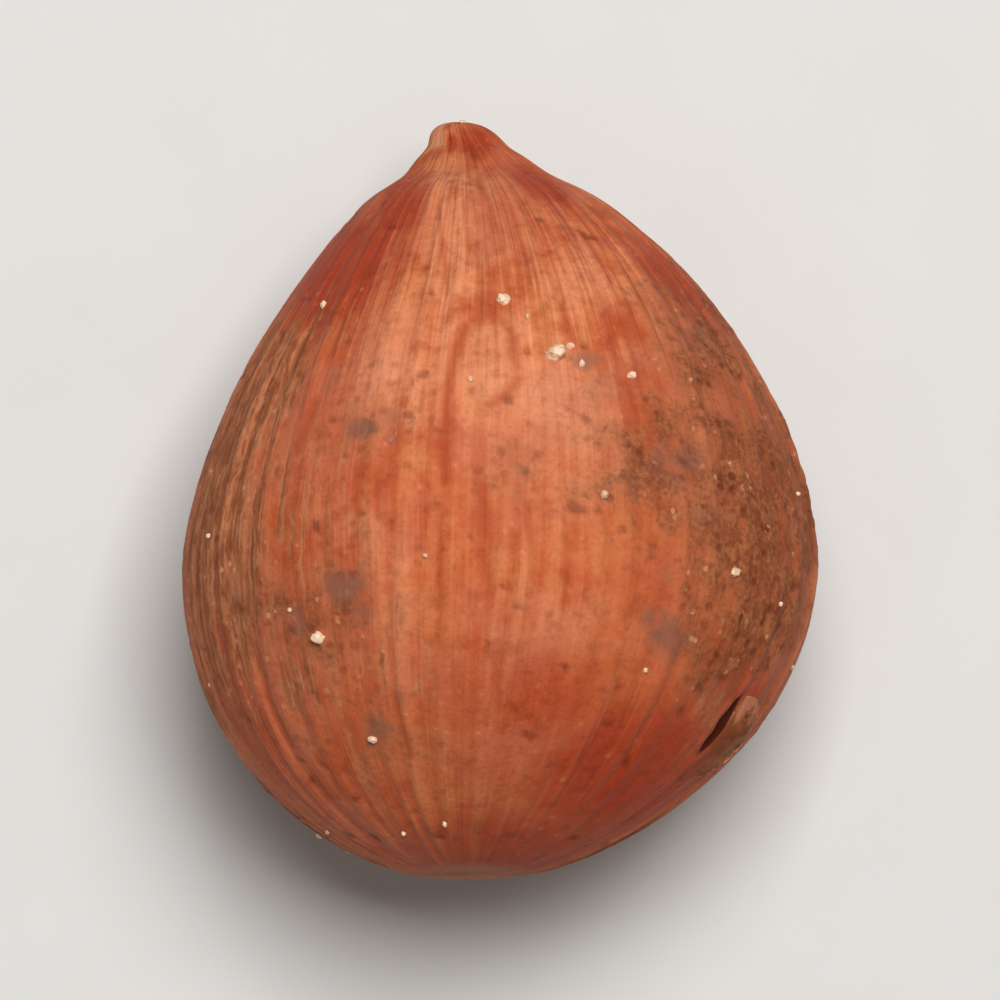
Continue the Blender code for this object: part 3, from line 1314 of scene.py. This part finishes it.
class Dye:
    """Makes one material and the nodes in it, and holds its colour as laid on so far."""

    colour: Any

    def __init__(self, name: str) -> None:
        """Starts a material with only its output.

        Args:
            name: the material's name.
        """
        self.made = bpy.data.materials.new(name)
        self.made.use_nodes = True
        self.tree = self.made.node_tree
        self.tree.nodes.clear()
        self.output = self.tree.nodes.new("ShaderNodeOutputMaterial")

    def node(self, kind: str, settings: dict[str, Any], sockets: dict[Any, Any]) -> bpy.types.Node:
        """Any node.

        Args:
            kind: the node's type.
            settings: its own settings, which are set first.
            sockets: its inputs by name or number, each a number, a tuple, a socket or a value.

        Returns:
            The node.
        """
        node = self.tree.nodes.new(kind)
        for name, setting in settings.items():
            setattr(node, name, setting)
        for name, given in sockets.items():
            source = given.socket if isinstance(given, Value) else given
            if isinstance(source, bpy.types.NodeSocket):
                self.tree.links.new(source, node.inputs[name])
            else:
                node.inputs[name].default_value = source
        return node

    def mask(self, name: str) -> Value:
        """A mask that is painted on the piece's vertices."""
        node = self.node("ShaderNodeAttribute", {"attribute_name": name}, {})
        return Value(self, node.outputs["Fac"])

    def object_place(self) -> bpy.types.NodeSocket:
        """The place on the piece in its own frame, in metres."""
        return self.node("ShaderNodeTexCoord", {}, {}).outputs["Object"]

    def grain(self) -> bpy.types.NodeSocket:
        """The painted vector that turns round the kernel and climbs along it."""
        return self.node("ShaderNodeAttribute", {"attribute_name": "grain"}, {}).outputs["Vector"]

    def bent(self, grain: bpy.types.NodeSocket, bend: float) -> bpy.types.NodeSocket:
        """The grain pushed aside by a cloud, so that what follows it wanders.

        Args:
            grain: the grain.
            bend: how far it is pushed, as a share of the radius.

        Returns:
            The bent grain.
        """
        sockets = {"Vector": self.object_place(), "Scale": 1100.0, "Detail": 2.0}
        cloud = self.node("ShaderNodeTexNoise", {}, sockets).outputs["Color"]
        sockets = {0: cloud, 1: (bend, bend, 0.0), 2: grain}
        return self.node("ShaderNodeVectorMath", {"operation": "MULTIPLY_ADD"}, sockets).outputs[0]

    def thread(self, grain: bpy.types.NodeSocket, stretch: Reach, detail: float, rough: float) -> Value:
        """A noise that runs along the kernel.

        Args:
            grain: the painted grain, as it is or bent.
            stretch: how fine the noise is round the kernel, and along it.
            detail: how many finer layers it has.
            rough: how strong those are.

        Returns:
            A value about 0.5, between 0 and 1.
        """
        rounds, alongs = stretch
        sockets = {0: grain, 1: (rounds, rounds, alongs)}
        drawn_out = self.node("ShaderNodeVectorMath", {"operation": "MULTIPLY"}, sockets).outputs[0]
        return self.noise(drawn_out, 1.0, detail, rough)

    def noise(
        self, vector: bpy.types.NodeSocket, scale: float, detail: float, rough: float = 0.55
    ) -> Value:
        """A cloudy noise.

        Args:
            vector: the place that it is read at.
            scale: how fine it is.
            detail: how many finer layers it has.
            rough: how strong those are.

        Returns:
            A value about 0.5, between 0 and 1.
        """
        sockets = {"Vector": vector, "Scale": scale, "Detail": detail, "Roughness": rough}
        return Value(self, self.node("ShaderNodeTexNoise", {}, sockets).outputs[0])

    def cells(self, vector: bpy.types.NodeSocket, scale: float) -> Value:
        """The distance to the nearest of many scattered points, in cells."""
        sockets = {"Vector": vector, "Scale": scale}
        return Value(self, self.node("ShaderNodeTexVoronoi", {}, sockets).outputs["Distance"])

    def mix(self, under: Any, over: Any, share: Any, blend: Blend = Blend.OVER) -> bpy.types.NodeSocket:
        """One colour laid over another.

        Args:
            under: the colour below, as red, green and blue or a socket.
            over: the colour above.
            share: how much of it is laid on, from 0 to 1.
            blend: how it is laid on.

        Returns:
            The colour.
        """
        colours = [(*c, 1.0) if isinstance(c, tuple) else c for c in (under, over)]
        settings = {"data_type": "RGBA", "blend_type": blend.value}
        node = self.node("ShaderNodeMix", settings, {0: share, 6: colours[0], 7: colours[1]})
        return node.outputs[2]

    def lay(self, over: Any, share: Any, blend: Blend = Blend.OVER) -> None:
        """Lays a colour over the one so far, with the arguments of mix."""
        self.colour = self.mix(self.colour, over, share, blend)

    def finish(self, sockets: dict[str, Any], height: Value, depth: float) -> bpy.types.Material:
        """Ends the material in a Principled shader with its colour and a bump.

        Args:
            sockets: the shader's other inputs.
            height: the bump's height, from 0 to 1.
            depth: what a height of 1 comes to, in metres.

        Returns:
            The material.
        """
        bump = self.node("ShaderNodeBump", {}, {"Height": height, "Distance": depth, "Strength": 1.0})
        sockets = {"Base Color": self.colour, **sockets, "Normal": bump.outputs[0]}
        shader = self.node("ShaderNodeBsdfPrincipled", {}, sockets)
        self.tree.links.new(shader.outputs[0], self.output.inputs["Surface"])
        return self.made


class SkinDye(Dye):
    """The skin's material, with the noises and masks that its layers share."""

    def __init__(self, name: str) -> None:
        """Sets up the noises, the first three of which run along the kernel, and the masks.

        Args:
            name: the material's name.
        """
        super().__init__(name)
        self.place, self.along = self.object_place(), self.grain()
        self.streak = self.thread(self.along, (13.0, 2.6), 4.0, 0.55)
        self.fine = self.thread(self.along, (30.0, 5.0), 3.0, 0.60)
        self.hair = self.thread(self.along, (70.0, 9.0), 2.0, 0.55)
        self.cloud = self.noise(self.place, 420.0, 4.0, 0.55)
        self.patch = self.noise(self.place, 1000.0, 4.0, 0.60)
        self.mottle = self.noise(self.place, 2300.0, 4.0, 0.62)
        self.grit = self.noise(self.place, 9000.0, 2.0, 0.60)
        self.rib, self.lined, self.blush = self.mask("rib"), self.mask("lined"), self.mask("blush")
        self.scurf, self.fibre = self.mask("scurf"), self.mask("fibre")


@dataclass(frozen=True)
class SkinFinish:
    """Red-brown papery skin: streaked along the ribs, crusted on the flanks, worn pale on top. The
    flank crusts are darkened further, and the creases and the slit are painted dark, as painted shade.
    """

    deep_red: Colour = (0.335, 0.031, 0.008)
    red: Colour = (0.425, 0.075, 0.025)
    orange: Colour = (0.525, 0.143, 0.051)
    peach: Colour = (0.650, 0.225, 0.102)
    rose: Colour = (0.630, 0.240, 0.135)
    pale_line: Colour = (0.740, 0.330, 0.160)
    # Crust and fibre tones: their own colour, darkened further as painted shade at the flanks
    scurf_brown_and_shade: Colour = (0.125, 0.031, 0.011)
    scurf_tan_and_shade: Colour = (0.300, 0.102, 0.042)
    fibre_brown_and_shade: Colour = (0.185, 0.057, 0.022)
    fibre_tan_and_shade: Colour = (0.430, 0.178, 0.082)
    line_tint: Colour = (0.46, 0.30, 0.24)
    speck: Colour = (0.110, 0.020, 0.008)
    # Painted shade laid along the creases
    crease_shade: Colour = (0.350, 0.060, 0.019)
    stain: Colour = (0.215, 0.085, 0.056)
    cream: Colour = (0.520, 0.220, 0.110)
    # Painted shade inside the slit: near black
    slit: Colour = (0.050, 0.008, 0.003)
    torn: Colour = (0.140, 0.036, 0.013)
    scar: Colour = (0.350, 0.140, 0.065)
    fibre_bend: float = 0.08
    ground_tone: float = 0.46
    usual_rib: float = 0.35
    satin: float = 0.50
    dry: float = 0.22
    gloss: float = 0.12
    gloss_tint: tuple[float, ...] = (1.0, 0.74, 0.58, 1.0)
    bump: float = 0.032 * MM

    def ground(self, dye: SkinDye) -> None:
        """Red to orange by the noises and the ribs, with rose clouds, worn to peach on top, and deep
        red where it is least worn. The deep red low on the two flanks is painted shade of the kernel's
        edges.

        Args:
            dye: the skin's material, which has no colour yet.
        """
        tone = self.ground_tone + dye.streak.swing(1.3) + dye.cloud.swing(1.1) + dye.patch.swing(1.3)
        tone = tone + 0.16 * (dye.rib - self.usual_rib)
        dye.colour = dye.mix(self.red, self.orange, tone.rise(0.20, 0.75))
        dye.lay(self.rose, 0.26 * (1.0 - dye.cloud).rise(0.42, 0.62))
        worn = dye.blush + dye.fine.swing(0.9) + dye.patch.swing(1.2) + dye.mottle.swing(0.6)
        dye.lay(self.peach, 0.92 * worn.rise(0.10, 0.95))
        rosy = dye.mask("rose") + dye.streak.swing(0.5) + dye.patch.swing(0.9)
        dye.lay(self.rose, 0.55 * rosy.rise(0.15, 1.00))
        deep = dye.mask("deep") + dye.streak.swing(0.7) + dye.patch.swing(0.8)
        dye.lay(self.deep_red, 0.85 * deep.rise(0.12, 0.85))

    def lines(self, dye: SkinDye) -> None:
        """Dark threads, pale ones that show most where the skin is worn or lined, pale strands,
        and a fine dark mottling.

        Args:
            dye: the skin's material so far.
        """
        threads = (dye.fine.below(0.49) * 4.0 + dye.hair.below(0.48) * 4.0).at_most(1.0)
        dye.lay(self.line_tint, threads * (0.15 + 0.36 * dye.lined), Blend.MULTIPLY)
        pale = (dye.fine * 0.6 + dye.hair * 0.7).rise(0.70, 0.86)
        dye.lay(self.pale_line, 0.45 * pale * (0.16 + 0.55 * dye.blush + 0.2 * dye.lined))
        dye.lay(self.pale_line, 0.12 * dye.mask("vein"))
        clots = dye.mottle.below(0.51) * 1.7 + dye.grit.below(0.49) * 1.0
        dye.lay(self.line_tint, clots.at_most(0.40), Blend.MULTIPLY)

    def crusts(self, dye: SkinDye) -> Value:
        """Fibres on the left flank and crust on the right one, each in two tones, with dark dots and
        pale glints among them. Their tones are darker than the crust's own colour, as painted shade at
        the flanks.

        Args:
            dye: the skin's material so far.

        Returns:
            Where the skin is covered by either, and so dull.
        """
        wandering = dye.bent(dye.along, self.fibre_bend)
        twine = dye.thread(wandering, (26.0, 7.0), 3.0, 0.60)
        lint = dye.thread(wandering, (60.0, 13.0), 2.0, 0.55)
        strands = dye.fibre + twine.swing(1.9) + lint.swing(1.1) + dye.patch.swing(0.8)
        strands = strands.rise(0.28, 0.78)
        weave = (0.35 * dye.hair + 0.55 * lint + 0.40 * dye.mottle).rise(0.54, 0.78)
        # The fibres' dark tone is partly painted shade at the left flank
        dye.lay(dye.mix(self.fibre_brown_and_shade, self.fibre_tan_and_shade, weave), 0.76 * strands)
        dye.lay(self.scurf_tan_and_shade, (0.38 * dye.scurf).at_most(0.38))
        crust = (dye.scurf + dye.mottle.swing(2.1) + dye.patch.swing(1.6)).rise(0.20, 0.96)
        meal = (0.7 * dye.mottle + 0.5 * dye.grit).rise(0.52, 0.74)
        # The crust's dark tone is partly painted shade at the right flank
        dye.lay(dye.mix(self.scurf_brown_and_shade, self.scurf_tan_and_shade, meal), 0.76 * crust)
        dots = (1.0 - dye.cells(dye.place, 2500.0).rise(0.18, 0.38)) * dye.patch.rise(0.42, 0.54)
        dye.lay(self.speck, 0.75 * dots * (0.22 + 0.78 * dye.scurf))
        glints = (1.0 - dye.cells(dye.place, 3100.0).rise(0.12, 0.28)) * dye.mottle.rise(0.50, 0.60)
        dye.lay(self.pale_line, 0.75 * glints * (0.20 + 0.60 * dye.scurf + 0.45 * dye.fibre))
        return crust.at_least(strands)

    def flaws(self, dye: SkinDye) -> None:
        """Creases, stains, pits, the scar, the bare tip of the beak, the torn skin and the slit. The
        creases are darkened, and the slit is painted near black, as painted shade.

        Args:
            dye: the skin's material so far.
        """
        # Painted shade: the creases are darkened along their strokes
        dye.lay(self.crease_shade, (0.75 * dye.mask("crease")).at_most(0.8))
        stain = dye.mask("stain")
        stained = (stain + dye.mottle.swing(1.4) + dye.patch.swing(1.0)).rise(0.10, 1.00)
        dye.lay(self.stain, 0.75 * stained * stain.rise(0.02, 0.40))
        dye.lay(self.speck, 0.55 * dye.mask("pit"))
        dye.lay(self.scar, 0.62 * dye.mask("scar") * dye.mottle.rise(0.30, 0.60))
        dye.lay(self.cream, 0.80 * (dye.mask("beak") + dye.mottle.swing(1.2)).rise(0.35, 0.85))
        dye.lay(self.torn, 0.85 * (dye.mask("torn") + dye.mottle.swing(0.7)).rise(0.30, 0.75))
        # Painted shade: the slit is painted near black
        dye.lay(self.slit, dye.mask("slit").rise(0.10, 0.45))

    def material(self) -> bpy.types.Material:
        """Lays the colours over each other by the painted masks and noise along the grain.

        Returns:
            The material.
        """
        dye = SkinDye("kernel_skin")
        self.ground(dye)
        self.lines(dye)
        dull = self.crusts(dye)
        self.flaws(dye)
        rough = self.satin + self.dry * dull + dye.mottle.swing(0.20) + 0.10 * (1.0 - dye.rib)
        coarse = dye.scurf.at_least(dye.fibre).rise(0.30, 0.80)
        height = 0.50 * dye.fine + 0.40 * dye.hair + 0.35 * dye.grit + (0.40 + coarse) * dye.mottle
        sockets = {
            "Roughness": rough,
            "Specular IOR Level": self.gloss,
            "Specular Tint": self.gloss_tint,
        }
        return dye.finish(sockets, height, self.bump)


@dataclass(frozen=True)
class FlakeFinish:
    """Dry skin that has lifted: brown, redder at its base end, and paler at its free edge and at
    the end nearer the beak.
    """

    joined: Colour = (0.185, 0.048, 0.017)
    free: Colour = (0.265, 0.092, 0.028)
    red_end: Colour = (0.270, 0.055, 0.028)
    pale_end: Colour = (0.430, 0.160, 0.085)
    rim: Colour = (0.450, 0.200, 0.100)
    speck: Colour = (0.090, 0.024, 0.008)
    roughness: float = 0.62
    gloss: float = 0.08
    bump: float = 0.03 * MM

    def material(self) -> bpy.types.Material:
        """Goes from the joined colour to the free one and the rim's, with two ends and specks.

        Returns:
            The material.
        """
        dye = Dye("lifted_flake")
        place, edge = dye.object_place(), dye.mask("edge")
        mottle, grain = dye.noise(place, 3200.0, 3.0), dye.noise(place, 9000.0, 2.0)
        dye.colour = dye.mix(self.joined, self.free, (edge + mottle.swing(1.6)).rise(0.15, 0.75))
        along = dye.mask("along") + mottle.swing(0.5)
        dye.lay(self.red_end, 0.8 * (1.0 - along).rise(0.60, 0.85))
        dye.lay(self.pale_end, 0.8 * along.rise(0.68, 0.88))
        dye.lay(self.speck, 0.6 * (1.0 - mottle).rise(0.52, 0.70))
        dye.lay(self.rim, (edge + grain.swing(0.6)).rise(0.90, 1.0))
        sockets = {"Roughness": self.roughness + mottle.swing(0.2), "Specular IOR Level": self.gloss}
        return dye.finish(sockets, 0.6 * mottle + 0.4 * grain, self.bump)


@dataclass(frozen=True)
class CrumbFinish:
    """Cream nut meal, slightly uneven."""

    cream: Colour = (0.780, 0.560, 0.390)
    tan: Colour = (0.580, 0.340, 0.200)
    roughness: float = 0.42
    bump: float = 0.01 * MM

    def material(self) -> bpy.types.Material:
        """Mixes the two colours by a noise.

        Returns:
            The material.
        """
        dye = Dye("nut_meal")
        mottle = dye.noise(dye.object_place(), 5200.0, 3.0)
        dye.colour = dye.mix(self.tan, self.cream, mottle.rise(0.36, 0.56))
        return dye.finish({"Roughness": self.roughness + mottle.swing(0.2)}, mottle, self.bump)


@dataclass
class Studio:
    """A plain pale floor, soft light from above and behind the beak, and the camera overhead."""

    middle: Vector
    floor_half: float = 1.5
    floor_colour: Colour = (0.61, 0.60, 0.585)
    floor_shade: float = 0.94
    floor_roughness: float = 0.7
    floor_bump: float = 0.01 * MM
    key_place: Vector = field(default_factory=lambda: Vector((0.045, 0.135, 0.44)))
    key_size: float = 0.20
    key_power: float = 2.46
    sky: float = 0.22
    sky_colour: tuple[float, ...] = (1.0, 0.96, 0.90, 1.0)
    view_height: float = 0.0220
    distance: float = 0.40
    nearest: float = 0.01
    sensor: float = 36.0

    def floor(self) -> bpy.types.Object:
        """The floor: a flat square under the kernel.

        Returns:
            The floor.
        """
        half = self.floor_half
        corners = [(-half, -half, 0.0), (half, -half, 0.0), (half, half, 0.0), (-half, half, 0.0)]
        mesh = bpy.data.meshes.new("floor")
        mesh.from_pydata(corners, [], [(0, 1, 2, 3)])
        floor = bpy.data.objects.new("floor", mesh)
        bpy.context.scene.collection.objects.link(floor)
        dye = Dye("floor")
        mottle = dye.noise(dye.object_place(), 260.0, 3.0)
        shade = tuple(self.floor_shade * part for part in self.floor_colour)
        dye.colour = dye.mix(shade, self.floor_colour, mottle)
        mesh.materials.append(dye.finish({"Roughness": self.floor_roughness}, mottle, self.floor_bump))
        return floor

    def lights(self) -> None:
        """A large square light above and behind the beak, and an even pale sky."""
        light = bpy.data.lights.new("key", "AREA")
        light.shape = "SQUARE"
        light.size = self.key_size
        light.energy = self.key_power
        key = bpy.data.objects.new("key", light)
        key.location = self.key_place
        key.rotation_euler = (self.middle - self.key_place).to_track_quat("-Z", "Y").to_euler()
        bpy.context.scene.collection.objects.link(key)
        world = bpy.data.worlds.new("soft_sky")
        world.use_nodes = True
        background = world.node_tree.nodes["Background"]
        background.inputs["Color"].default_value = self.sky_colour
        background.inputs["Strength"].default_value = self.sky
        bpy.context.scene.world = world

    def camera(self) -> bpy.types.Object:
        """A long lens straight above the kernel, with the beak towards the top of the picture.

        Returns:
            The camera.
        """
        data = bpy.data.cameras.new("overhead")
        data.sensor_width = self.sensor
        data.lens = self.sensor * self.distance / self.view_height
        data.clip_start = self.nearest
        camera = bpy.data.objects.new("overhead", data)
        camera.location = self.middle + Vector((0.0, 0.0, self.distance))
        bpy.context.scene.collection.objects.link(camera)
        bpy.context.scene.camera = camera
        return camera

    def build(self) -> None:
        """Sets the floor, the lights and the camera, and a plain view of the colours."""
        self.camera()
        self.floor()
        self.lights()
        bpy.context.scene.view_settings.view_transform = "Standard"


def main() -> None:
    """Builds the pieces in order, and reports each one."""
    logging.basicConfig(level=logging.INFO, format="%(message)s")
    low, high = (np.array(corner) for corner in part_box("kernel"))
    Studio(middle=Vector(((low + high) / 2.0).tolist())).build()
    kernel = Kernel(box=(low, high))
    pieces = [
        kernel.build(SkinFinish()),
        LiftedFlake(kernel).build(FlakeFinish()),
        Crumbs(kernel).build(CrumbFinish()),
    ]
    for piece in pieces:
        triangles = sum(len(face.vertices) - 2 for face in piece.data.polygons)
        LOG.info("%s: %d triangles", piece.name, triangles)


if __name__ == "__main__":
    main()
